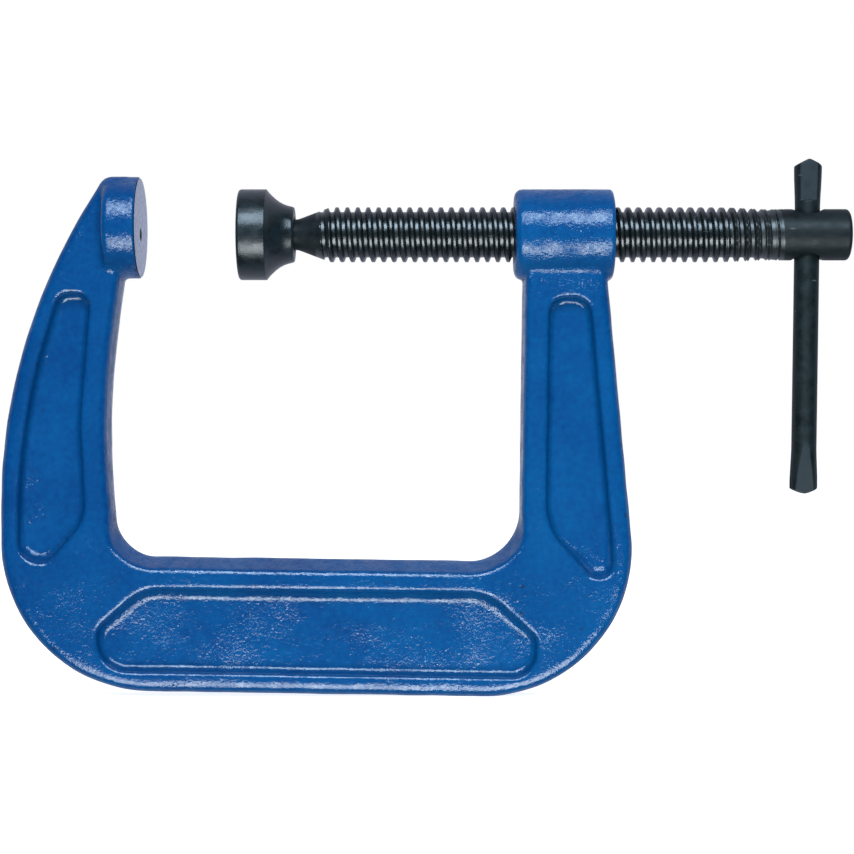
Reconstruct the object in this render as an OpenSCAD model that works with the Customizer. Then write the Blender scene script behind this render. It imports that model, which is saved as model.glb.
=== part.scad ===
// C clamp (G clamp) with a threaded boss, a swivel pad on a loose thrust ball, and a sliding tommy bar.
// Frame of the model: the screw axis is the X axis, and the origin is where it meets the machined anvil
// face. +X points from the anvil to the head of the screw, +Z points away from the spine, and the frame
// is symmetric about Y = 0. All sizes are in millimetres.

/* [Frame] */
// Distance from the anvil to the middle of the boss arm's inner edge
throat_w = 121.6; // [118:0.1:124]
// Depth from the screw axis to the middle of the spine's inner edge
throat_depth = 103.8; // [100:0.1:108]
// Thickness of the arms and the spine across Y
frame_t = 17; // [15:0.5:20]
// Thickness of the web between two opposite pockets
web_t = 8; // [6:0.5:12]
// How far the stepped edges are set in at the flat sides
edge_inset = 2.8; // [1.5:0.1:3]
// Share of the thickness that has the full outline
full_width_share = 0.42; // [0.3:0.02:0.6]

/* [Anvil and boss] */
// Diameter of the round anvil
anvil_d = 32.4; // [31:0.1:34]
// Height of the anvil's centre above the screw axis
anvil_rise = 2.2; // [0:0.1:4]
// Length of the round anvil behind its machined face
anvil_len = 11; // [9:0.5:13]
// Radius on the back rim of the anvil
anvil_rim_r = 3; // [1:0.1:4]
// Diameter of the boss that holds the thread
boss_d = 29; // [27:0.1:30]
// Length of the boss
boss_len = 31.7; // [31:0.1:33]
// Radius on the two rims of the boss
boss_rim_r = 2; // [0.5:0.1:3]

/* [Screw] */
// Diameter over the thread's crests
crest_d = 17.6; // [17:0.1:18]
// Diameter at the thread's roots
root_d = 14.5; // [14:0.1:15]
// Pitch of the right-hand thread
pitch = 3.325; // [3.2:0.005:3.5]
// Where the thread starts, measured from the anvil
thread_start = 57.6; // [56:0.1:59]
// Where the plain head of the screw starts
head_start = 204.4; // [203:0.1:206]
// Diameter of the plain head
head_d = 16.4; // [16:0.1:17]
// Length of the plain head
head_len = 22; // [21:0.1:24]
// Diameter of the neck behind the swivel pad
neck_d = 9.8; // [9:0.1:10]
// Clearance of the thread in the boss, across the flanks and at the crests
thread_play = 0.16; // [0.14:0.01:0.2]

/* [Swivel pad] */
// Where the pad's face stands at rest, measured from the anvil
pad_face_x = 31.5; // [31:0.1:32]
// Diameter of the pad's face
pad_d = 29; // [28:0.1:30]
// Length of the pad's cylindrical rim
pad_rim_len = 9; // [8:0.1:10]
// Length of the whole pad with its collar
pad_len = 17.8; // [17.5:0.1:18]
// Diameter of the loose thrust ball
ball_d = 6; // [5.5:0.1:6]

/* [Tommy bar] */
// Diameter of the bar
bar_d = 8; // [7.8:0.05:8.1]
// Width of the pressed ends, which keep the bar in the head
bar_end_w = 8.8; // [8.7:0.05:9]
// Thickness of the pressed ends
bar_end_t = 6.6; // [6:0.1:7]
// Length of the bar with its two pointed tips
bar_len = 107.3; // [106:0.1:108]
// Diameter of the cross hole in the head
bar_hole_d = 8.45; // [8.4:0.05:8.5]
// Distance of the cross hole from the free end of the head
bar_hole_back = 12.9; // [12:0.1:14]
// Angle in degrees at which the bar leans in its hole
bar_lean = 0.85; // [0:0.05:0.9]

/* [Hidden] */
$fn = 96;

ARC_SAG = 0.08;             // how far an outline may cut inside its true arc
FACE_RIM = 0.4;             // broken edge of the machined face
SIDES = 16;                 // flat sides of a thread in one turn
LEAD_IN = 10;               // sides over which a thread rises from the root

// Outer edge of the frame: corner points [x, z, rounding radius], from the anvil round to the boss
outer_edge = [
    [-5, 17.9, 0], [-11.1, 17.9, 3.5], [-43.8, -37, 184], [-43.7, -144.9, 48],
    [161.5, -148.05, 47.1], [149.1, -14.5, 0], [148, 0, 0]
];
// Inner edge of the frame, from the boss back to the anvil
inner_edge = [
    [throat_w + 2.4, 0, 0], [throat_w + 0.7, -14.5, 0], [throat_w - 0.7, -throat_depth - 0.9, 16],
    [-6.4, -throat_depth + 1, 13.3], [-11.3, -61, 240], [-5.3, -14.5, 0], [-5, 0, 0]
];
// Pockets in each side of the frame
anvil_arm_pocket = [
    [-25.2, -18.9, 4.5], [-38.3, -61.2, 210], [-38.1, -117.3, 7], [-16.4, -91, 14],
    [-18, -60, 90], [-14.7, -18.9, 4.5]
];
spine_pocket = [
    [1.2, -112.5, 15.5], [-13.4, -125.4, 6], [-12.7, -139.1, 10], [126, -141.4, 8],
    [126.9, -128.2, 5], [111.4, -113.8, 16]
];
boss_arm_pocket = [
    [130.2, -20.1, 6], [129.2, -93.2, 20], [152.7, -120, 5.2], [143.7, -20.1, 6]
];

boss_x = 119.6;
pocket_depth = (frame_t - web_t) / 2;
pivot_x = pad_face_x + 10.5;
ball_gap = 0.1;
knob_d = 12.6;
knob_flat = 2.5;
socket_d = 13.2;
ring_x = pivot_x + 2.6;
ring_w = 1;
ring_inner_d = 11.7;
ring_outer_d = 15.2;
groove_play = 0.1;
thread_first = thread_start + pitch / 3;
half_root = 0.333 * pitch;
half_crest = 0.175 * pitch;
mouth_d = 11.8;
bar_x = head_start + head_len - bar_hole_back;
bar_top_z = 24.3;
bar_tip_h = 2.2;
top_flat_len = 12.4;
bottom_flat_len = 12;
half_facet = cos(180 / SIDES);

function unit(v) = v / norm(v);

// Arc that rounds the corner b between the points a and c
function corner_arc(a, b, c, r) =
    let (
        u = unit(a - b),
        v = unit(c - b),
        half = acos(u * v) / 2,
        middle = b + r / sin(half) * unit(u + v),
        from = b + r / tan(half) * u - middle,
        to = b + r / tan(half) * v - middle,
        turn = atan2(cross(from, to), from * to),
        steps = max(1, ceil(abs(turn) / (2 * acos(1 - ARC_SAG / r))))
    )
    [for (i = [0:steps])
        let (angle = turn * i / steps)
        middle + [
            from[0] * cos(angle) - from[1] * sin(angle),
            from[0] * sin(angle) + from[1] * cos(angle)
        ]
    ];

// Outline through corner points, each rounded by its own radius
function rounded(corners) =
    let (
        n = len(corners),
        at = [for (p = corners) [p[0], p[1]]]
    )
    [for (i = [0:n - 1])
        each corners[i][2] == 0
            ? [at[i]]
            : corner_arc(at[(i + n - 1) % n], at[i], at[(i + 1) % n], corners[i][2])
    ];

// One point of a thread's profile: row 0 and 3 at the root, rows 1 and 2 at the crest
function thread_point(x, step, row, root_r, crest_r, half_root, half_crest, last) =
    let (
        rise = max(0, min(1, step / LEAD_IN, (last - step) / LEAD_IN)),
        angle = 360 * step / SIDES,
        along = [-half_root, -half_crest, half_crest, half_root][row],
        r = row == 0 || row == 3 ? root_r : root_r + (crest_r - root_r) * rise
    )
    [x + pitch * step / SIDES + along, r * cos(angle), r * sin(angle)];

// A closed right-hand threaded rod along X: the thread's first turn starts at x and it has a number
// of turns. Each of its columns runs from the flat start at x0 to the flat end at x1.
module threaded_rod(x, turns, x0, x1, root_r, crest_r, half_root, half_crest) {
    last = turns * SIDES - 1;
    rows = 4 * turns + 2;
    points = [for (c = [0:SIDES - 1], j = [0:rows - 1])
        let (angle = 360 * c / SIDES, turn = floor((j - 1) / 4))
        j == 0 ? [x0, root_r * cos(angle), root_r * sin(angle)]
        : j == rows - 1 ? [x1, root_r * cos(angle), root_r * sin(angle)]
        : thread_point(x, c + SIDES * turn, (j - 1) % 4, root_r, crest_r, half_root, half_crest, last)
    ];
    // point j of column c
    function at(c, j) = (c % SIDES) * rows + j;
    plain = [for (c = [0:SIDES - 2], j = [0:rows - 2])
        each [[at(c, j), at(c, j + 1), at(c + 1, j + 1)], [at(c, j), at(c + 1, j + 1), at(c + 1, j)]]
    ];
    // the last column meets the first one a turn further on, so four points there close as fans
    seam = SIDES - 1;
    seam_start = [for (j = [0:4]) [at(seam, 0), at(0, j + 1), at(0, j)]];
    seam_side = [for (j = [0:rows - 6])
        each [[at(seam, j), at(seam, j + 1), at(0, j + 5)],
              if (j + 5 < rows - 1) [at(seam, j + 1), at(0, j + 6), at(0, j + 5)]]
    ];
    seam_end = [for (j = [rows - 5:rows - 2]) [at(seam, j), at(seam, j + 1), at(0, rows - 1)]];
    caps = [[for (c = [0:SIDES - 1]) at(c, 0)], [for (c = [SIDES - 1:-1:0]) at(c, rows - 1)]];
    polyhedron(points, concat(plain, seam_start, seam_side, seam_end, caps));
}

// A solid of revolution about the X axis from [x, radius] points
module turned(profile) {
    rotate([90, 0, 90])
        rotate_extrude()
            polygon([for (p = profile) [p[1], p[0]]]);
}

// A cylinder along X
module rod_x(x, length, d) {
    translate([x, 0, 0])
        rotate([0, 90, 0])
            cylinder(h = length, d = d);
}

// A plate across Y, centred on the frame's middle plane, with its outline in X and Z
module plate(t) {
    translate([0, t / 2, 0])
        rotate([90, 0, 0])
            linear_extrude(height = t)
                children();
}

module pockets() {
    for (side = [-1, 1], outline = [anvil_arm_pocket, spine_pocket, boss_arm_pocket])
        translate([0, side * (web_t / 2 + frame_t / 2), 0])
            plate(frame_t)
                polygon(rounded(outline));
}

// The arms and the spine: the full outline in the middle, set in by two steps towards the flat sides
module arms() {
    layers = [[full_width_share, 0], [(1 + full_width_share) / 2, edge_inset / 3], [1, edge_inset]];
    for (layer = layers)
        plate(frame_t * layer[0])
            offset(delta = -layer[1])
                polygon(rounded(concat(outer_edge, inner_edge)));
}

// Points of a rounded rim at x, which opens towards the middle of a round bar of radius r
function rim(x, r, rim_r, way) =
    let (n = ceil(2 * rim_r) + 1)
    [for (i = [0:n])
        let (a = 90 * (way > 0 ? i : n - i) / n)
        [x + way * rim_r * (1 - cos(a)), r - rim_r * (1 - sin(a))]
    ];

// A round bar along X from x0 to x1 with a rounded rim at each end
module rimmed_bar(x0, x1, d, rim0, rim1) {
    turned(concat([[x0, 0]], rim(x0, d / 2, rim0, 1), rim(x1, d / 2, rim1, -1), [[x1, 0]]));
}

// The space that the screw's thread turns in, cut clear of the flat sides of both threads
module tap() {
    turns = ceil(boss_len / pitch) + 4;
    lead = ceil((boss_x - thread_start) / pitch) - 3;
    threaded_rod(
        x = thread_first + pitch * lead,
        turns = turns,
        x0 = boss_x - 2.5 * pitch,
        x1 = boss_x + boss_len + 3 * pitch,
        root_r = (root_d / 2 + thread_play) / half_facet,
        crest_r = (crest_d / 2 + thread_play) / half_facet,
        half_root = half_root + thread_play,
        half_crest = half_crest + thread_play
    );
}

module frame() {
    color("royalblue")
        difference() {
            union() {
                arms();
                translate([0, 0, anvil_rise])
                    rimmed_bar(-anvil_len, 0, anvil_d, anvil_rim_r, FACE_RIM);
                rimmed_bar(boss_x, boss_x + boss_len, boss_d, boss_rim_r, boss_rim_r);
            }
            pockets();
            tap();
        }
}

// The screw: a knob with a pocket for the ball, the neck, the thread and the drilled head
module screw() {
    color("dimgray") {
        difference() {
            union() {
                intersection() {
                    translate([pivot_x, 0, 0])
                        sphere(d = knob_d);
                    rod_x(pivot_x - knob_flat, knob_d, knob_d + 2);
                }
                turned([
                    [pivot_x + 2, 0], [pivot_x + 2, neck_d / 2], [thread_start - 6.9, neck_d / 2],
                    [thread_start, root_d / 2 - 0.4], [thread_start + 2, root_d / 2 - 0.4],
                    [thread_start + 2, 0]
                ]);
            }
            rod_x(pivot_x - knob_d, knob_d + ball_d / 2 + ball_gap, ball_d + 2 * ball_gap);
        }
        threaded_rod(
            x = thread_first,
            turns = floor((head_start - thread_start) / pitch) - 1,
            x0 = thread_start,
            x1 = head_start + 1.5,
            root_r = root_d / 2,
            crest_r = crest_d / 2,
            half_root = half_root,
            half_crest = half_crest
        );
        difference() {
            turned([
                [head_start, 0], [head_start, head_d / 2 - 0.6], [head_start + 0.6, head_d / 2],
                [head_start + head_len - 1.2, head_d / 2], [head_start + head_len, head_d / 2 - 1.2],
                [head_start + head_len, 0]
            ]);
            translate([bar_x, 0, -head_d])
                cylinder(h = 2 * head_d, d = bar_hole_d);
        }
    }
}

module thrust_ball() {
    color("silver")
        translate([pivot_x, 0, 0])
            sphere(d = ball_d);
}

// A split spring ring in the pad's groove, which holds the knob in its socket
module retaining_ring() {
    color("slategray")
        difference() {
            rod_x(ring_x, ring_w, ring_outer_d);
            rod_x(ring_x - 1, ring_w + 2, ring_inner_d);
            translate([ring_x - 1, -1, 0])
                cube([ring_w + 2, 2, ring_outer_d]);
        }
}

module swivel_pad() {
    face = pad_face_x;
    shoulder = face + pad_rim_len;
    end = face + pad_len;
    color("darkslategray")
        difference() {
            turned([
                [face, 0], [face, pad_d / 2 - 1.1], [face + 1.1, pad_d / 2], [shoulder, pad_d / 2],
                [shoulder + 1.1, pad_d / 2 - 1.6], [shoulder + 2.4, pad_d / 2 - 2.9],
                [shoulder + 3.7, pad_d / 2 - 3.9], [shoulder + 5, pad_d / 2 - 4.6],
                [shoulder + 6.7, pad_d / 2 - 5.2], [end - 0.7, pad_d / 2 - 5.5], [end, pad_d / 2 - 6.1],
                [end, 0]
            ]);
            rod_x(pivot_x - ball_d / 2 - ball_gap, pad_len, mouth_d);
            rod_x(pivot_x - ball_d / 2 - ball_gap, ring_x - pivot_x + ball_d / 2 + ball_gap, socket_d);
            rod_x(ring_x - groove_play, ring_w + 2 * groove_play, ring_outer_d + 2 * groove_play);
        }
}

// A pressed end of the bar, pointing up from z = 0: flat on both sides, with a pointed tip
module pressed_end(length) {
    w = bar_end_w / 2;
    cone_h = 1.1;
    cylinder(h = cone_h, d1 = bar_d, d2 = bar_end_w);
    shoulder = length - bar_tip_h;
    intersection() {
        cylinder(h = length, d = bar_end_w);
        plate(bar_end_t)
            polygon([[-w, cone_h / 2], [w, cone_h / 2], [w, shoulder], [0, length], [-w, shoulder]]);
    }
}

module tommy_bar() {
    top_round = bar_top_z - bar_tip_h - top_flat_len;
    bottom_tip = bar_top_z - bar_len;
    bottom_round = bottom_tip + bar_tip_h + bottom_flat_len;
    color("gray")
        translate([bar_x, 0, 0])
            rotate([0, bar_lean, 0]) {
                translate([0, 0, bottom_round])
                    cylinder(h = top_round - bottom_round, d = bar_d);
                translate([0, 0, top_round])
                    pressed_end(top_flat_len + bar_tip_h);
                translate([0, 0, bottom_round])
                    mirror([0, 0, 1])
                        pressed_end(bottom_flat_len + bar_tip_h);
            }
}

frame();
screw();
thrust_ball();
retaining_ring();
swivel_pad();
tommy_bar();
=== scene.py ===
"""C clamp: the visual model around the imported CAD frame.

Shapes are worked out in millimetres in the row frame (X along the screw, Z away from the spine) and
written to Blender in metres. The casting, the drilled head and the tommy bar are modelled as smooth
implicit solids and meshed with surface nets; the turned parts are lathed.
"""

import math

import bpy
import numpy as np
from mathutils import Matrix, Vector


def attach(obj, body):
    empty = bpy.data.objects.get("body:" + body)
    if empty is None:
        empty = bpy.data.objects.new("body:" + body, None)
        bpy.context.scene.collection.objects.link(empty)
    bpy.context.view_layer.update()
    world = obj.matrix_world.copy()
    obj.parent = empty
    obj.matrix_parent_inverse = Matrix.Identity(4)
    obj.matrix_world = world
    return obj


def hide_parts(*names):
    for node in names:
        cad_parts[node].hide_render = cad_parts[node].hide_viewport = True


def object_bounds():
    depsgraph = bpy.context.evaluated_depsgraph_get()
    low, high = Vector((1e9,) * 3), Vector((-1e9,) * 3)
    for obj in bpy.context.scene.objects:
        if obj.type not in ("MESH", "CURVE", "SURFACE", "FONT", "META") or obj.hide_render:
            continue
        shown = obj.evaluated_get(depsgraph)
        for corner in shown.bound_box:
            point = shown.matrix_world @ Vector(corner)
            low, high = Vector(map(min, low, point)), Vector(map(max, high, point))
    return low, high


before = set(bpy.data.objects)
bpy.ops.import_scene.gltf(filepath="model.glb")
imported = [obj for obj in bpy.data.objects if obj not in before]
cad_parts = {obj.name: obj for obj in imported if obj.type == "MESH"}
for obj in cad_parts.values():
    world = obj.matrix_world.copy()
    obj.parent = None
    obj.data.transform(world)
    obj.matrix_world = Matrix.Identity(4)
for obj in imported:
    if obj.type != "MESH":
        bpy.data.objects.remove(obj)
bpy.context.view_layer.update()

MM = 0.001


# ---------------------------------------------------------------- outlines of lines and arcs

class Outline:
    """An open line through corner points [x, z, radius], each corner rounded by a true arc.

    distance() is positive on the right-hand side of the line as it is walked.
    """

    def __init__(self, corners, closed=False):
        points = [np.array(c[:2], float) for c in corners]
        n = len(points)
        self.lines = []
        self.arcs = []
        starts = list(points)
        ends = list(points)
        for i in range(n):
            radius = corners[i][2]
            if radius == 0 or (not closed and i in (0, n - 1)):
                continue
            before = points[i - 1] - points[i]
            after = points[(i + 1) % n] - points[i]
            before /= np.linalg.norm(before)
            after /= np.linalg.norm(after)
            half = math.acos(float(before @ after)) / 2
            reach = radius / math.tan(half)
            ends[i] = points[i] + before * reach
            starts[i] = points[i] + after * reach
            middle = (before + after) / np.linalg.norm(before + after)
            centre = points[i] + middle * radius / math.sin(half)
            left_turn = before[0] * after[1] - before[1] * after[0] < 0
            self.arcs.append((centre, radius, ends[i], starts[i], 1 if left_turn else -1))
        for i in range(n if closed else n - 1):
            self.lines.append((starts[i], ends[(i + 1) % n]))

    def distance(self, x, z):
        best = np.full(np.shape(x), 1e9)
        signed = np.full(np.shape(x), 1e9)
        for a, b in self.lines:
            along = b - a
            length = np.linalg.norm(along)
            along = along / length
            dx = x - a[0]
            dz = z - a[1]
            t = np.clip(dx * along[0] + dz * along[1], 0, length)
            far = np.hypot(dx - t * along[0], dz - t * along[1])
            side = dx * along[1] - dz * along[0]
            closer = far < best
            best = np.where(closer, far, best)
            signed = np.where(closer, np.where(side > 0, far, -far), signed)
        for centre, radius, a, b, turn in self.arcs:
            dx = x - centre[0]
            dz = z - centre[1]
            out = np.hypot(dx, dz)
            middle = (a + b) / 2 - centre
            middle /= np.linalg.norm(middle)
            reach = float((a - centre) @ middle)
            within = dx * middle[0] + dz * middle[1] >= out * reach / radius
            far = np.abs(out - radius)
            closer = within & (far < best)
            best = np.where(closer, far, best)
            signed = np.where(closer, turn * (out - radius), signed)
        return signed


# ---------------------------------------------------------------- implicit solids

def both(a, b, r):
    """The space inside both a and b, with its convex edge rounded by r."""
    u = np.maximum(a + r, 0)
    v = np.maximum(b + r, 0)
    return np.minimum(-r, np.maximum(a, b)) + np.hypot(u, v)


def either(a, b, r):
    """The space inside a or b, with a concave fillet of r where they meet."""
    return -both(-a, -b, r)


def smoothstep(low, high, value):
    t = np.clip((value - low) / (high - low), 0, 1)
    return t * t * (3 - 2 * t)


def waves(x, y, z, wavelength, seed, count=9):
    """Slow, smooth unevenness of about -1 to 1, from a few plane waves."""
    rng = np.random.default_rng(seed)
    total = np.zeros(np.shape(x))
    for _ in range(count):
        direction = rng.normal(size=3)
        direction /= np.linalg.norm(direction)
        k = 2 * math.pi / (wavelength * rng.uniform(0.7, 1.5))
        phase = rng.uniform(0, 2 * math.pi)
        total += np.sin(k * (x * direction[0] + y * direction[1] + z * direction[2]) + phase)
    return total / math.sqrt(count)


def surface_nets(field, low, high, step, rounds=3):
    """Meshes field(x, y, z) = 0 between two corners: returns vertices and quads, outward facing."""
    counts = [int(math.ceil((high[i] - low[i]) / step)) + 1 for i in range(3)]
    axes = [low[i] + step * np.arange(counts[i]) for i in range(3)]
    value = np.empty(counts)
    for i, x in enumerate(axes[0]):
        yy, zz = np.meshgrid(axes[1], axes[2], indexing="ij")
        value[i] = field(np.full(yy.shape, x), yy, zz)
    inside = value < 0
    cell = np.zeros([c - 1 for c in counts], int)
    corners = [(i, j, k) for i in (0, 1) for j in (0, 1) for k in (0, 1)]
    shape = cell.shape

    def corner(array, c):
        return array[c[0]:c[0] + shape[0], c[1]:c[1] + shape[1], c[2]:c[2] + shape[2]]

    for c in corners:
        cell += corner(inside, c)
    active = (cell > 0) & (cell < 8)
    number = np.full(shape, -1)
    number[active] = np.arange(active.sum())
    where = np.argwhere(active)
    total = np.zeros((len(where), 3))
    crossings = np.zeros(len(where))
    for a in corners:
        for axis in range(3):
            if a[axis]:
                continue
            b = tuple(1 if i == axis else a[i] for i in range(3))
            va = corner(value, a)[active]
            vb = corner(value, b)[active]
            cut = (va < 0) != (vb < 0)
            t = np.where(cut, va / np.where(cut, va - vb, 1), 0)
            point = np.tile(np.array(a, float), (len(where), 1))
            point[:, axis] = t
            total[cut] += point[cut]
            crossings[cut] += 1
    vertices = (where + total / crossings[:, None]) * step + np.array(low)
    quads = []
    for axis in range(3):
        u, v = [(1, 2), (2, 0), (0, 1)][axis]
        first = [slice(1, n - 1) for n in counts]
        second = [slice(1, n - 1) for n in counts]
        first[axis] = slice(0, counts[axis] - 1)
        second[axis] = slice(1, counts[axis])
        a = inside[tuple(first)]
        b = inside[tuple(second)]
        base = np.argwhere(a != b)
        leaves = a[a != b]
        for i in range(3):
            if i != axis:
                base[:, i] += 1
        around = []
        for du, dv in ((-1, -1), (0, -1), (0, 0), (-1, 0)):
            at = base.copy()
            at[:, u] += du
            at[:, v] += dv
            around.append(number[at[:, 0], at[:, 1], at[:, 2]])
        ring = np.stack(around, 1)
        quads.append(np.where(leaves[:, None], ring, ring[:, ::-1]))
    quads = np.concatenate(quads)
    h = 0.02
    for _ in range(rounds):
        x, y, z = vertices.T
        f = field(x, y, z)
        slope = np.stack([
            field(x + h, y, z) - field(x - h, y, z),
            field(x, y + h, z) - field(x, y - h, z),
            field(x, y, z + h) - field(x, y, z - h),
        ], 1) / (2 * h)
        size = np.maximum((slope ** 2).sum(1), 0.25)
        move = -f[:, None] * slope / size[:, None]
        vertices = vertices + np.clip(move, -step / 2, step / 2)
    return vertices, quads


# ---------------------------------------------------------------- making Blender objects

def make_mesh(name, vertices, faces, body, node, material, sharp=math.radians(38)):
    """Makes a smooth-shaded piece from millimetres. It rides body and, if node is given, replaces it."""
    mesh = bpy.data.meshes.new(name)
    vertices = np.asarray(vertices, float) * MM
    if isinstance(faces, np.ndarray):
        faces = faces.tolist()
    mesh.from_pydata(vertices.tolist(), [], faces)
    mesh.update()
    mesh.validate()
    mesh.polygons.foreach_set("use_smooth", [True] * len(mesh.polygons))
    if sharp:
        mesh.set_sharp_from_angle(angle=sharp)
    piece = bpy.data.objects.new(name, mesh)
    bpy.context.scene.collection.objects.link(piece)
    mesh.materials.append(material)
    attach(piece, body)
    if node:
        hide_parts(node)
    return piece


def ring_faces(rows, segments):
    """Quads between neighbouring rings of vertices, and a cap on the first ring and on the last."""
    faces = []
    for i in range(rows - 1):
        here = i * segments
        above = here + segments
        for k in range(segments):
            k1 = (k + 1) % segments
            faces.append((here + k, here + k1, above + k1, above + k))
    last = (rows - 1) * segments
    faces.append(tuple(reversed(range(segments))))
    faces.append(tuple(last + k for k in range(segments)))
    return faces


def lathe(profile, segments):
    """Turns [x, r] points about the X axis, listed so that the outside is on the left going along +X."""
    vertices = []
    for x, r in profile:
        for k in range(segments):
            a = 2 * math.pi * k / segments
            vertices.append((x, r * math.cos(a), r * math.sin(a)))
    return vertices, ring_faces(len(profile), segments)


# ---------------------------------------------------------------- camera, floor and light

LIGHT_CENTRE = (0.09, 0.0, -0.06)
LIGHT_DISTANCE = 1.3
LIGHT_LENGTH = 1.3
LIGHT_HEIGHT = 0.6


def add_camera():
    data = bpy.data.cameras.new("camera")
    data.lens = 86.8
    data.sensor_width = 36
    data.clip_start = 0.01
    data.clip_end = 50
    camera = bpy.data.objects.new("camera", data)
    camera.location = (0.0917, -0.660, -0.0616)
    camera.rotation_euler = (math.radians(90), 0, 0)
    bpy.context.scene.collection.objects.link(camera)
    bpy.context.scene.camera = camera


def add_strip(name, elevation, power, colour):
    """A long soft light parallel to X, in front of the clamp at an angle above or below it."""
    data = bpy.data.lights.new(name, "AREA")
    data.shape = "RECTANGLE"
    data.size = LIGHT_LENGTH
    data.size_y = LIGHT_HEIGHT
    data.energy = power
    data.color = colour
    light = bpy.data.objects.new(name, data)
    e = math.radians(elevation)
    offset = Vector((0, -math.cos(e), math.sin(e))) * LIGHT_DISTANCE
    light.location = Vector(LIGHT_CENTRE) + offset
    light.rotation_euler = offset.to_track_quat("Z", "Y").to_euler()
    light.visible_camera = False
    bpy.context.scene.collection.objects.link(light)


def add_world():
    """White behind the clamp, as in a light tent, and dimmer in front of it."""
    world = bpy.data.worlds.new("studio")
    bpy.context.scene.world = world
    world.use_nodes = True
    nodes = world.node_tree.nodes
    links = world.node_tree.links
    nodes.clear()
    out = nodes.new("ShaderNodeOutputWorld")
    place = nodes.new("ShaderNodeTexCoord")
    split = nodes.new("ShaderNodeSeparateXYZ")
    ramp = nodes.new("ShaderNodeValToRGB")
    ramp.color_ramp.elements[0].position = 0.40
    ramp.color_ramp.elements[0].color = (0.012, 0.014, 0.018, 1)
    ramp.color_ramp.elements[1].position = 0.62
    ramp.color_ramp.elements[1].color = (0.56, 0.60, 0.74, 1)
    shift = nodes.new("ShaderNodeMath")
    shift.operation = "MULTIPLY_ADD"
    shift.inputs[1].default_value = 0.5
    shift.inputs[2].default_value = 0.5
    seen = nodes.new("ShaderNodeBackground")
    seen.inputs["Color"].default_value = (1, 1, 1, 1)
    around = nodes.new("ShaderNodeBackground")
    path = nodes.new("ShaderNodeLightPath")
    mix = nodes.new("ShaderNodeMixShader")
    links.new(place.outputs["Generated"], split.inputs[0])
    links.new(split.outputs["Y"], shift.inputs[0])
    links.new(shift.outputs[0], ramp.inputs[0])
    links.new(ramp.outputs[0], around.inputs["Color"])
    links.new(path.outputs["Is Camera Ray"], mix.inputs[0])
    links.new(around.outputs[0], mix.inputs[1])
    links.new(seen.outputs[0], mix.inputs[2])
    links.new(mix.outputs[0], out.inputs[0])


def add_floor():
    """A white floor that lights and reflections don't see."""
    size = 8.0
    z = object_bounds()[0].z
    corners = [(-size, -size, z), (size, -size, z), (size, size, z), (-size, size, z)]
    mesh = bpy.data.meshes.new("floor")
    mesh.from_pydata(corners, [], [(0, 1, 2, 3)])
    floor = bpy.data.objects.new("floor", mesh)
    bpy.context.scene.collection.objects.link(floor)
    material = bpy.data.materials.new("floor_white")
    material.use_nodes = True
    shader = material.node_tree.nodes["Principled BSDF"]
    shader.inputs["Base Color"].default_value = (0.8, 0.8, 0.8, 1)
    shader.inputs["Roughness"].default_value = 0.9
    shader.inputs["Specular IOR Level"].default_value = 0.0
    shader.inputs["Emission Color"].default_value = (1, 1, 1, 1)
    shader.inputs["Emission Strength"].default_value = 0.85
    mesh.materials.append(material)
    floor.visible_glossy = False
    floor.visible_diffuse = False
    floor.visible_shadow = False


bpy.context.scene.view_settings.view_transform = "Standard"
add_camera()
add_world()
add_floor()
add_strip("upper", elevation=41, power=30.0, colour=(0.64, 0.83, 1.0))
add_strip("lower", elevation=-37, power=25.0, colour=(0.86, 0.95, 1.0))


# ---------------------------------------------------------------- materials

def new_material(name, colour, roughness, metallic=0.0):
    material = bpy.data.materials.new(name)
    material.use_nodes = True
    shader = material.node_tree.nodes["Principled BSDF"]
    shader.inputs["Base Color"].default_value = (*colour, 1)
    shader.inputs["Roughness"].default_value = roughness
    shader.inputs["Metallic"].default_value = metallic
    return material


def add_node(material, kind, **inputs):
    node = material.node_tree.nodes.new(kind)
    for key, value in inputs.items():
        node.inputs[key].default_value = value
    return node


def link(material, a, b):
    material.node_tree.links.new(a, b)


def object_place(material):
    return add_node(material, "ShaderNodeTexCoord").outputs["Object"]


def maths(material, operation, a, b=None, clamp=False):
    """A Math node: a and b are numbers or sockets."""
    node = material.node_tree.nodes.new("ShaderNodeMath")
    node.operation = operation
    node.use_clamp = clamp
    for i, value in enumerate((a, b)):
        if value is None:
            continue
        if isinstance(value, (int, float)):
            node.inputs[i].default_value = value
        else:
            link(material, value, node.inputs[i])
    return node.outputs[0]


def noise(material, place, scale, detail=2.0, roughness=0.5):
    node = add_node(material, "ShaderNodeTexNoise", Scale=scale, Detail=detail, Roughness=roughness)
    link(material, place, node.inputs["Vector"])
    return node.outputs["Fac"]


def between(material, value, low, high):
    """0 below low, 1 above high, and a straight ramp between."""
    node = add_node(material, "ShaderNodeMapRange")
    node.inputs["From Min"].default_value = low
    node.inputs["From Max"].default_value = high
    link(material, value, node.inputs["Value"])
    return node.outputs["Result"]


def mixed(material, factor, a, b):
    """A colour between a and b, which are colours or sockets."""
    node = material.node_tree.nodes.new("ShaderNodeMix")
    node.data_type = "RGBA"
    link(material, factor, node.inputs[0])
    for socket, value in ((node.inputs[6], a), (node.inputs[7], b)):
        if isinstance(value, tuple):
            socket.default_value = (*value, 1)
        else:
            link(material, value, socket)
    return node.outputs[2]


def bump(material, height, distance):
    node = add_node(material, "ShaderNodeBump", Strength=1.0, Distance=distance)
    link(material, height, node.inputs["Height"])
    return node.outputs["Normal"]


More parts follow.
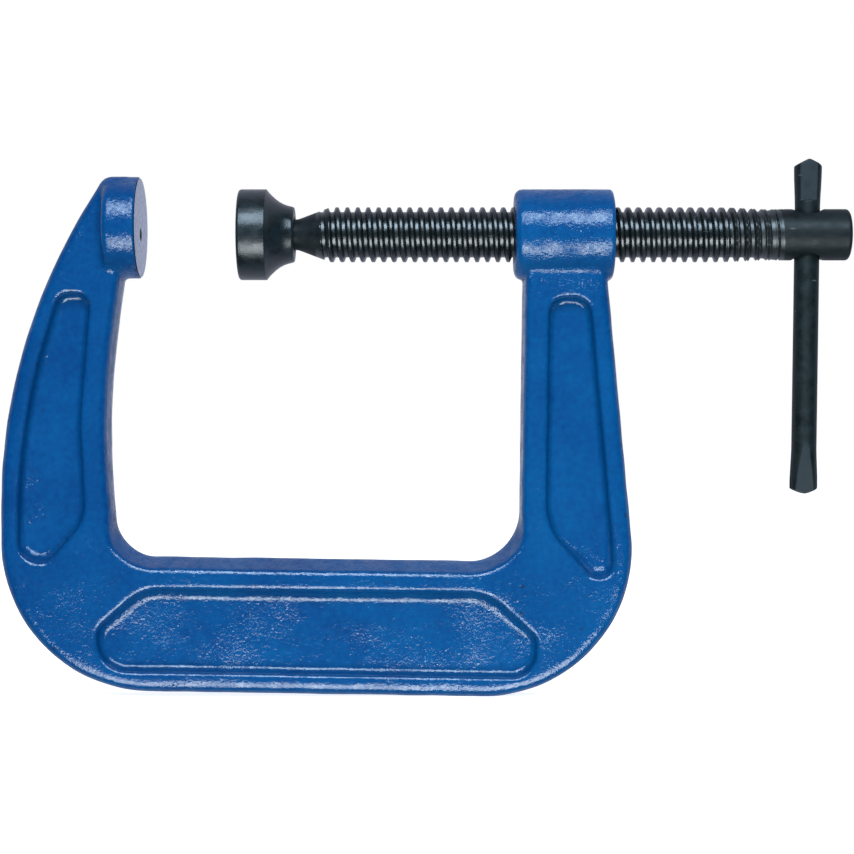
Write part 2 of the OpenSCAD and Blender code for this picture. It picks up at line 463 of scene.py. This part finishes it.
def spots(material, place, scale, radius):
    """Round spots, one to a cell of a Voronoi pattern: 1 in the middle of each spot."""
    node = add_node(material, "ShaderNodeTexVoronoi", Scale=scale)
    link(material, place, node.inputs["Vector"])
    return between(material, node.outputs["Distance"], radius, radius * 0.2)


def split_xyz(material, vector):
    node = add_node(material, "ShaderNodeSeparateXYZ")
    link(material, vector, node.inputs[0])
    return node.outputs


def weighted(material, *terms):
    """The sum of (socket, factor) terms."""
    total = None
    for socket, factor in terms:
        part = socket if factor == 1 else maths(material, "MULTIPLY", socket, factor)
        total = part if total is None else maths(material, "ADD", total, part)
    return total


def blue_enamel():
    """Gloss enamel brushed over rough iron: orange peel, gritty patches, dust nibs and stains."""
    material = new_material("blue_enamel", (0.0005, 0.04, 0.155), 0.45)
    shader = material.node_tree.nodes["Principled BSDF"]
    shader.inputs["Specular IOR Level"].default_value = 0.05
    shader.inputs["Coat Weight"].default_value = 1.0
    shader.inputs["Coat Roughness"].default_value = 0.06
    shader.inputs["Coat IOR"].default_value = 1.6
    place = object_place(material)
    x = split_xyz(material, place)["X"]
    z = split_xyz(material, place)["Z"]

    # the grit lies in patches, most of them on the spine
    along_spine = maths(material, "MULTIPLY", between(material, z, -0.09, -0.115),
                        between(material, x, -0.03, -0.01))
    patches = weighted(material, (noise(material, place, 45, 3), 1), (along_spine, 0.13))
    patches = between(material, patches, 0.57, 0.75)
    grit_depth = maths(material, "ADD", maths(material, "MULTIPLY", patches, 1.1), 0.35)
    grit = maths(material, "MULTIPLY", noise(material, place, 1300, 2, 0.6), grit_depth)
    nibs = maths(material, "MULTIPLY", spots(material, place, 330, 0.14), patches)
    peel = noise(material, place, 700, 3, 0.65)
    slow = noise(material, place, 150, 1)
    height = weighted(material, (peel, 1.15), (slow, 1.6), (grit, 1), (nibs, 1.3))
    normal = bump(material, height, 0.00013)
    link(material, normal, shader.inputs["Normal"])
    link(material, normal, shader.inputs["Coat Normal"])

    # the gloss is broken by a fine texture, most of all on the barrels of the boss and the anvil
    barrels = between(material, z, -0.016, -0.0135)
    film = weighted(material, (noise(material, place, 260, 3, 0.6), 1),
                    (noise(material, place, 1100, 2), 0.8), (barrels, -0.19))
    link(material, between(material, film, 0.38, 1.1), shader.inputs["Coat Weight"])

    # the colour varies a little from place to place, and is lighter towards the boss arm
    tint = weighted(material, (noise(material, place, 55, 3), 1), (noise(material, place, 600, 2), 0.9),
                    (between(material, x, -0.03, 0.09), 0.2))
    tint = between(material, tint, 0.7, 1.4)
    colour = mixed(material, tint, (0.0003, 0.035, 0.130), (0.0007, 0.061, 0.182))
    stain = between(material, noise(material, place, 210, 3, 0.6), 0.70, 0.76)
    colour = mixed(material, stain, colour, (0.009, 0.022, 0.05))
    specks = maths(material, "MULTIPLY", spots(material, place, 95, 0.08),
                   between(material, noise(material, place, 30), 0.52, 0.56))
    colour = mixed(material, specks, colour, (0.009, 0.01, 0.014))
    link(material, colour, shader.inputs["Base Color"])
    return material


def oxide(name, colour, roughness, index, rubbed_and_sheen=None, grain=0.00004):
    """Black oxide under a film of oil, with faint smears, pores, specks and scratches.

    The argument for the bar's pressed flats is a lighter colour: partly rubbed wear, partly a painted
    sheen in place of the light the flats catch. grain is the depth of the pores in metres.
    """
    material = new_material(name, colour, roughness)
    shader = material.node_tree.nodes["Principled BSDF"]
    shader.inputs["IOR"].default_value = index
    place = object_place(material)
    smears = noise(material, place, 260, 3, 0.6)
    light = tuple(1.4 * c for c in colour)
    dark = tuple(0.65 * c for c in colour)
    tone = mixed(material, between(material, smears, 0.3, 0.7), dark, light)
    # painted sheen: flats facing along Y at the pressed ends are lightened, partly as rubbed wear, partly
    # in place of their highlight
    if rubbed_and_sheen:
        facing = split_xyz(material, add_node(material, "ShaderNodeTexCoord").outputs["Normal"])["Y"]
        flat = between(material, maths(material, "ABSOLUTE", facing), 0.975, 0.99)
        height = split_xyz(material, place)["Z"]
        ends = maths(material, "ADD", between(material, height, 0.0105, 0.0112),
                     between(material, height, -0.066, -0.068))
        tone = mixed(material, maths(material, "MULTIPLY", flat, ends), tone, rubbed_and_sheen)
    flatter = add_node(material, "ShaderNodeVectorMath")
    flatter.operation = "MULTIPLY"
    flatter.inputs[1].default_value = (1, 1, 4)
    link(material, place, flatter.inputs[0])
    scratches = spots(material, flatter.outputs[0], 70, 0.09)
    marks = maths(material, "MAXIMUM", scratches, spots(material, place, 110, 0.05))
    tone = mixed(material, maths(material, "MULTIPLY", marks, 0.8), tone, (0.08, 0.09, 0.09))
    link(material, tone, shader.inputs["Base Color"])
    rough = maths(material, "MULTIPLY", maths(material, "ADD", smears, 0.5), roughness)
    link(material, rough, shader.inputs["Roughness"])
    pores = weighted(material, (noise(material, place, 420, 3, 0.6), 1),
                     (noise(material, place, 1500, 2), 0.35))
    link(material, bump(material, pores, grain), shader.inputs["Normal"])
    return material


def machined_iron():
    """Bare iron with fine scratches and grey spots."""
    material = new_material("machined_face", (0.5, 0.52, 0.6), 0.45, 0.75)
    shader = material.node_tree.nodes["Principled BSDF"]
    place = object_place(material)
    cloud = between(material, noise(material, place, 700, 3, 0.7), 0.4, 0.62)
    colour = mixed(material, cloud, (0.36, 0.38, 0.46), (0.60, 0.62, 0.72))
    link(material, colour, shader.inputs["Base Color"])
    link(material, bump(material, noise(material, place, 1400, 2), 0.00006), shader.inputs["Normal"])
    return material


def bright_steel(name, colour, roughness):
    """Bare steel with a faint haze."""
    material = new_material(name, colour, roughness, 1.0)
    shader = material.node_tree.nodes["Principled BSDF"]
    haze = noise(material, object_place(material), 900, 2)
    link(material, between(material, haze, -roughness, 1.8), shader.inputs["Roughness"])
    return material


ENAMEL = blue_enamel()
OXIDE = oxide("black_oxide", (0.003, 0.0055, 0.0062), 0.27, index=1.63)
# dark, dull oxide for the screw's run-out; it also serves as painted shade in the anvil's centre hole and
# under its rim
DULL_OXIDE_AND_SHADE = oxide("dull_oxide_and_shade", (0.003, 0.0055, 0.0062), 0.38, index=1.6)
HEAD_OXIDE = oxide("head_oxide", (0.003, 0.006, 0.007), 0.5, index=1.31)
PAD_OXIDE = oxide("pad_oxide", (0.004, 0.008, 0.010), 0.31, index=1.5, grain=0.00009)
# the bar's pressed flats get a lighter colour, partly rubbed wear and partly painted sheen
BAR = oxide("bar_oxide", (0.0035, 0.008, 0.0085), 0.46, index=1.33, rubbed_and_sheen=(0.012, 0.018, 0.022))
MACHINED = machined_iron()
SPRING = bright_steel("spring_wire", (0.3, 0.3, 0.32), 0.35)
BALL = bright_steel("ball_steel", (0.7, 0.7, 0.72), 0.15)


# ---------------------------------------------------------------- the casting

OUTER_EDGE = Outline([
    (60, 17.3, 0), (-11.4, 17.3, 3.5), (-43.8, -37, 184), (-43.7, -144.9, 48),
    (161.5, -148.05, 47.1), (149.1, -14.5, 0), (147, 12, 0),
])
INNER_EDGE = Outline([
    (125, 12, 0), (122.3, -14.5, 0), (120.9, -104.7, 16), (-6.4, -102.8, 13.3),
    (-11.3, -61, 240), (-5.3, -14.5, 0), (-4, 60, 0),
])
ANVIL_ARM_POCKET = Outline([
    (-25.2, -18.9, 4.5), (-38.3, -61.2, 210), (-38.1, -117.3, 7), (-16.4, -91, 14),
    (-18, -60, 90), (-14.7, -18.9, 4.5),
], closed=True)
SPINE_POCKET = Outline([
    (1.2, -112.5, 15.5), (-13.4, -125.4, 6), (-12.7, -139.1, 10), (126, -141.4, 8),
    (126.9, -128.2, 5), (111.4, -113.8, 16),
], closed=True)
BOSS_ARM_POCKET = Outline([
    (130.2, -20.1, 6), (129.2, -93.2, 20), (152.7, -120, 5.2), (143.7, -20.1, 6),
], closed=True)

HALF = 8.4              # half thickness of the arms and the spine
OUTER_ROUND = 2.4
BAND_TILT = math.radians(13)    # the flat sides fall away a little along the outer edge
BAND_WIDTH = 3.5
SPINE_DRAFT = math.radians(27)  # lean of the spine's edge in the throat
ARM_DRAFT = math.radians(7)     # lean of the arms' edges in the throat
POCKET_DEPTH = 4.3
WALL_TILT = 79          # degrees that the pockets' walls stand up from the flat side
TOP_WALL_TILT = 68      # along the top of the spine's pocket
RIM_ROUND = 0.9
FLOOR_FILLET = 1.6
ANVIL_R = 16.2
ANVIL_Z = 2.2
ANVIL_BACK = -10.8
FACE_THICK = 0.12       # the casting ends this far behind the machined face
PIP_R = 2.3             # centre hole in the anvil's face
PIP_DEPTH = 3.4
BOSS_R = 14.5
BOSS_X0 = 119.6
BOSS_X1 = 151.1
BORE_R = 9.0
UNEVENNESS = 0.06


def casting(x, y, z):
    """The whole iron casting: two arms and a spine with pockets, the anvil, and the bored boss."""
    side = np.abs(y)
    outer = OUTER_EDGE.distance(x, z)
    inner = INNER_EDGE.distance(x, z)
    face = side - HALF
    # the spine's throat edge is drafted steeply, the arms' edges hardly
    spine = smoothstep(-88, -100, z)
    right_arm = smoothstep(60, 100, x) * (1 - spine)
    draft = SPINE_DRAFT * spine + ARM_DRAFT * (1 - spine)
    rounding = 1.3 * spine + (1 - spine) * (3.0 - 0.9 * right_arm)
    ridge = np.sqrt(side ** 2 + 1.0) - 1.0
    flank = inner * np.cos(draft) + ridge * np.sin(draft)
    band = (face * math.cos(BAND_TILT) + (outer + BAND_WIDTH) * math.sin(BAND_TILT))
    rounded_outside = both(outer, np.maximum(band, face), OUTER_ROUND)
    body = np.maximum(rounded_outside, both(flank, face, rounding))
    # the walls of the pockets stand steeply, except along the top of the spine's pocket
    lean = smoothstep(-96, -104, z) * smoothstep(-134, -120, z)
    wall_tilt = np.radians(WALL_TILT + (TOP_WALL_TILT - WALL_TILT) * lean)
    for pocket in (ANVIL_ARM_POCKET, SPINE_POCKET, BOSS_ARM_POCKET):
        edge = pocket.distance(x, z)
        wall = edge * np.sin(wall_tilt) - face * np.cos(wall_tilt)
        hollow = both(wall, HALF - POCKET_DEPTH - side, FLOOR_FILLET + 0.7 * lean)
        body = both(body, -hollow, RIM_ROUND)
    # the boss arm ends inside the boss
    body = np.where(x > 60, both(body, z - 6, 2.0), body)
    radial = np.hypot(y, z - ANVIL_Z) - ANVIL_R
    anvil = both(both(radial, ANVIL_BACK - x, 2.2), x + FACE_THICK, 0.15)
    body = either(body, anvil, 1.6)
    at_anvil = (x < 60) & (z > -40)
    body = np.where(at_anvil, both(body, x + FACE_THICK, 0.2), body)
    pip = np.maximum(np.hypot(y, z) - PIP_R - 0.2, -PIP_DEPTH - x)
    body = np.where(at_anvil, both(body, -pip, 0.1), body)
    radial = np.hypot(y, z) - BOSS_R
    boss = both(both(radial, BOSS_X0 - x, 2.6), x - BOSS_X1, 1.3)
    body = either(body, boss, 0.7 + 0.03 * np.clip(x - BOSS_X0, 0, 32))
    bore = np.where(x > 60, BORE_R - np.hypot(y, z), -50.0)
    return both(body, bore, 0.6)


def build_casting():
    step = 0.77
    vertices, quads = surface_nets(
        lambda x, y, z: casting(x, y, z) + UNEVENNESS * waves(x, y, z, 14, 5),
        (-47, -18, -150), (157, 18, 21), step,
    )
    make_mesh("clamp_frame", vertices, quads, "frame", "frame", ENAMEL, sharp=None)


build_casting()


# ---------------------------------------------------------------- the machined anvil face

def build_anvil_face():
    """A thin machined disc on the casting, with painted shade in its centre hole.

    Its rings are centred on the hole, at the screw's axis, in the middle, and on the anvil at the rim.
    """
    segments = 128
    profile = [(-3.2, 0.05), (-3.1, 0.4), (-2.6, 0.8), (-1.2, 1.6), (-0.1, PIP_R - 0.08), (0, PIP_R)]
    profile += [(0, r) for r in np.linspace(3.4, ANVIL_R - 0.45, 9)]
    profile += [(-0.6, ANVIL_R - 1.6), (-1.8, ANVIL_R - 1.6)]
    vertices = []
    for x, r in profile:
        centre = ANVIL_Z * smoothstep(PIP_R, ANVIL_R - 1, r)
        for k in range(segments):
            a = -2 * math.pi * k / segments
            vertices.append((x, r * math.cos(a), centre + r * math.sin(a)))
    faces = ring_faces(len(profile), segments)
    disc = make_mesh("anvil_machined_face", vertices, faces, "frame", None, MACHINED)
    # painted shade: the walls of the hole and the edge under the rim get the dark dull oxide, standing in
    # for the shade that falls there
    disc.data.materials.append(DULL_OXIDE_AND_SHADE)
    for polygon in disc.data.polygons:
        polygon.material_index = int(polygon.center.x < -0.0002)


build_anvil_face()


# ---------------------------------------------------------------- the screw

PITCH = 3.325
CREST_R = 8.8
ROOT_R = 7.25
BLANK_R = 8.2
THREAD_FIRST = 58.7         # a crest's middle on the +Y side
CREST_HALF = 0.58
ROOT_HALF = 1.10
NECK_R = 4.9
CONE_X = 50.5
THREAD_START = 55.9
CONE_SLOPE = (7.3 - 4.9) / (56.8 - 50.5)
RUNOUT = (186.0, 206.5)
SHAFT_END = 207.5
DULL_TURN = 38.5            # in turns of the thread from THREAD_FIRST
PLAIN_TURN = 43.5
PIVOT_X = 42.0
KNOB_R = 6.3
KNOB_FLAT = 2.5
BALL_BORE_R = 3.1


def thread_radius(x, angle):
    """Radius of the screw at x and an angle about the X axis: a right-hand rolled thread."""
    turn = (x - THREAD_FIRST) / PITCH - angle / (2 * math.pi)
    off = np.abs(turn - np.round(turn)) * PITCH
    fade = smoothstep(RUNOUT[0] + 8, RUNOUT[1], x)
    crest = CREST_R + (BLANK_R - CREST_R) * smoothstep(RUNOUT[0], RUNOUT[1] - 4, x)
    root = ROOT_R + (BLANK_R - ROOT_R) * fade
    down = smoothstep(CREST_HALF - 0.14, ROOT_HALF + 0.12, off)
    radius = crest + (root - crest) * down
    # the crests are slightly rounded across
    radius -= 0.1 * (1 - fade) * np.minimum(off / CREST_HALF, 1) ** 2 * (1 - down)
    # the crests are not filled near the run-out, which leaves a seam along their middle
    seam = 0.5 * smoothstep(RUNOUT[0] - 4, RUNOUT[0] + 11, x)
    seam = seam * (1 - smoothstep(RUNOUT[1] - 2, RUNOUT[1], x))
    radius -= seam * np.exp(-(off / 0.24) ** 2)
    return np.minimum(radius, NECK_R + CONE_SLOPE * (x - CONE_X))


def build_neck():
    """The knob with its ball pocket, the neck and the cone, up to where the thread starts."""
    knob_face_r = math.sqrt(KNOB_R ** 2 - KNOB_FLAT ** 2)
    profile = [(PIVOT_X + 3.1, 0.05), (PIVOT_X + 3.1, 1.2), (PIVOT_X + 2.4, 2.4), (PIVOT_X + 1.2, 3.0),
               (PIVOT_X - KNOB_FLAT + 0.3, BALL_BORE_R), (PIVOT_X - KNOB_FLAT, BALL_BORE_R + 0.3)]
    first = math.pi - math.asin(knob_face_r / KNOB_R)
    last = math.asin(NECK_R / KNOB_R)
    for a in np.linspace(first, last, 14):
        profile.append((PIVOT_X + KNOB_R * math.cos(a), KNOB_R * math.sin(a)))
    profile += [(47.5, NECK_R), (49.6, NECK_R), (50.2, NECK_R + 0.02), (50.9, NECK_R + 0.2), (51.8, 5.4)]
    for x in (53, 54.5, THREAD_START, THREAD_START + 0.4):
        profile.append((x, NECK_R + CONE_SLOPE * (x - CONE_X)))
    profile += [(THREAD_START + 0.4, 0.05)]
    vertices, faces = lathe(profile, 96)
    make_mesh("screw_neck", vertices, faces, "screw", None, HEAD_OXIDE)


def build_screw():
    segments = 72
    step = 0.15
    xs = np.concatenate([[THREAD_START], np.arange(THREAD_START, SHAFT_END, step), [SHAFT_END, SHAFT_END]])
    angles = 2 * math.pi * np.arange(segments) / segments
    radius = thread_radius(xs[:, None], angles[None, :])
    radius[0] -= 0.6
    radius[-1] = BLANK_R - 0.6
    vertices = np.stack([
        np.repeat(xs, segments),
        (radius * np.cos(angles)).ravel(),
        (radius * np.sin(angles)).ravel(),
    ], 1)
    faces = ring_faces(len(xs), segments)
    shaft = make_mesh("screw_shaft", vertices, faces, "screw", "screw", OXIDE)
    # the run-out never enters the boss and stays dull, and the plain end is as dull as the head
    shaft.data.materials.append(DULL_OXIDE_AND_SHADE)
    shaft.data.materials.append(HEAD_OXIDE)
    turn = (xs[:-1, None] - THREAD_FIRST) / PITCH - angles[None, :] / (2 * math.pi)
    dull = (turn > DULL_TURN).astype(int) + (turn > PLAIN_TURN)
    dull = np.concatenate([dull.ravel(), [0, 2]])
    shaft.data.polygons.foreach_set("material_index", dull.astype(np.int32))


HEAD_R = 8.2
HEAD_X1 = 226.8
BAR_X = 213.5
BAR_HOLE_R = 4.225


def head(x, y, z):
    """The drilled head: its cross hole has softly pressed edges, and its start dips under the shaft."""
    dip = 0.5 * smoothstep(SHAFT_END, SHAFT_END - 1.2, x)
    body = both(np.hypot(y, z) - HEAD_R + dip, x - HEAD_X1, 1.3)
    body = np.maximum(body, SHAFT_END - 1.5 - x)
    hole = BAR_HOLE_R - np.hypot(x - BAR_X, y)
    return both(body, hole, 1.3)


def build_head():
    step = 0.3
    vertices, quads = surface_nets(head, (205, -9, -9), (227.5, 9, 9), step)
    make_mesh("screw_head", vertices, quads, "screw", None, HEAD_OXIDE, sharp=None)


build_neck()
build_screw()
build_head()


# ---------------------------------------------------------------- the swivel pad

PAD_FACE = 31.5
PAD_R = 14.5
SOCKET_R = 6.6
MOUTH_R = 5.9
SOCKET_X = 38.9
GROOVE = (44.5, 45.7, 7.7)      # from x, to x, radius


def build_pad():
    face = PAD_FACE
    profile = [
        (face, 0.05), (face, 4), (face, 8), (face, 12), (face, PAD_R - 0.9), (face + 0.12, PAD_R - 0.5),
        (face + 0.45, PAD_R - 0.14), (face + 0.9, PAD_R), (face + 4.5, PAD_R), (face + 8.7, PAD_R),
        (face + 8.88, PAD_R - 0.05), (face + 9.02, PAD_R - 0.2), (face + 9.7, 13.4), (face + 10.55, 12.55),
        (face + 11.8, 11.4), (face + 13.1, 10.45), (face + 14.4, 9.75), (face + 15.7, 9.3),
        (face + 16.9, 9.0), (face + 17.4, 8.85), (face + 17.7, 8.6), (face + 17.8, 8.25),
        (face + 17.8, 7.4), (face + 17.8, MOUTH_R + 0.35), (face + 17.65, MOUTH_R + 0.08),
        (face + 17.3, MOUTH_R), (GROOVE[1], MOUTH_R), (GROOVE[1], GROOVE[2]),
        (GROOVE[0], GROOVE[2]), (GROOVE[0], SOCKET_R),
        (SOCKET_X, SOCKET_R), (SOCKET_X, 3), (SOCKET_X, 0.05),
    ]
    vertices, faces = lathe(profile, 128)
    make_mesh("swivel_pad_turned", vertices, faces, "swivel_pad", "swivel_pad",
              PAD_OXIDE, sharp=math.radians(42))


build_pad()


# ---------------------------------------------------------------- the tommy bar

BAR_R = 4.0
BAR_TOP = 24.3
BAR_LOW = BAR_TOP - 107.3
BAR_LEAN = math.tan(math.radians(0.85))     # the bar stands a little askew in its hole
TOP_FLAT = 13.5
LOW_FLAT = 16.0


def bar(x, y, z):
    """Round bar with pressed ends: a stepped flat and a roof at the top, a long V flat at the bottom."""
    x = x - BAR_X - BAR_LEAN * z
    side = np.abs(y)
    top = smoothstep(BAR_TOP - TOP_FLAT - 3, BAR_TOP - 3, z)
    low = smoothstep(BAR_LOW + LOW_FLAT, BAR_LOW + 3, z)
    wide = 1 + 0.105 * np.maximum(top, low)
    body = np.hypot(x / wide, y) - BAR_R
    top_plane = side - 3.0
    step = (BAR_TOP - TOP_FLAT) - z
    top_cut = both(-top_plane, step, 0.35)
    body = both(body, -top_cut, 0.3)
    slope = (BAR_R - 2.8) / LOW_FLAT
    low_plane = (side - BAR_R + slope * (BAR_LOW + LOW_FLAT - z)) / math.hypot(1, slope)
    body = both(body, low_plane, 0.2)
    roof = 0.52
    tip = (z - BAR_TOP + roof * np.sqrt(x ** 2 + 0.15)) / math.hypot(1, roof)
    body = both(body, tip, 0.3)
    end = (BAR_LOW - z + 0.45 * np.sqrt(x ** 2 + 1.0) - 0.3) / math.hypot(1, 0.45)
    return both(body, end, 0.3)


def build_bar():
    step = 0.3
    low = (BAR_X - 5.5, -5.2, BAR_LOW - 1)
    high = (BAR_X + 5.5, 5.2, BAR_TOP + 1)
    vertices, quads = surface_nets(bar, low, high, step)
    make_mesh("tommy_bar_pressed", vertices, quads, "tommy_bar", "tommy_bar", BAR, sharp=None)


build_bar()

for node, material in (("retaining_ring", SPRING), ("thrust_ball", BALL)):
    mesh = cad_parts[node].data
    mesh.materials.clear()
    mesh.materials.append(material)
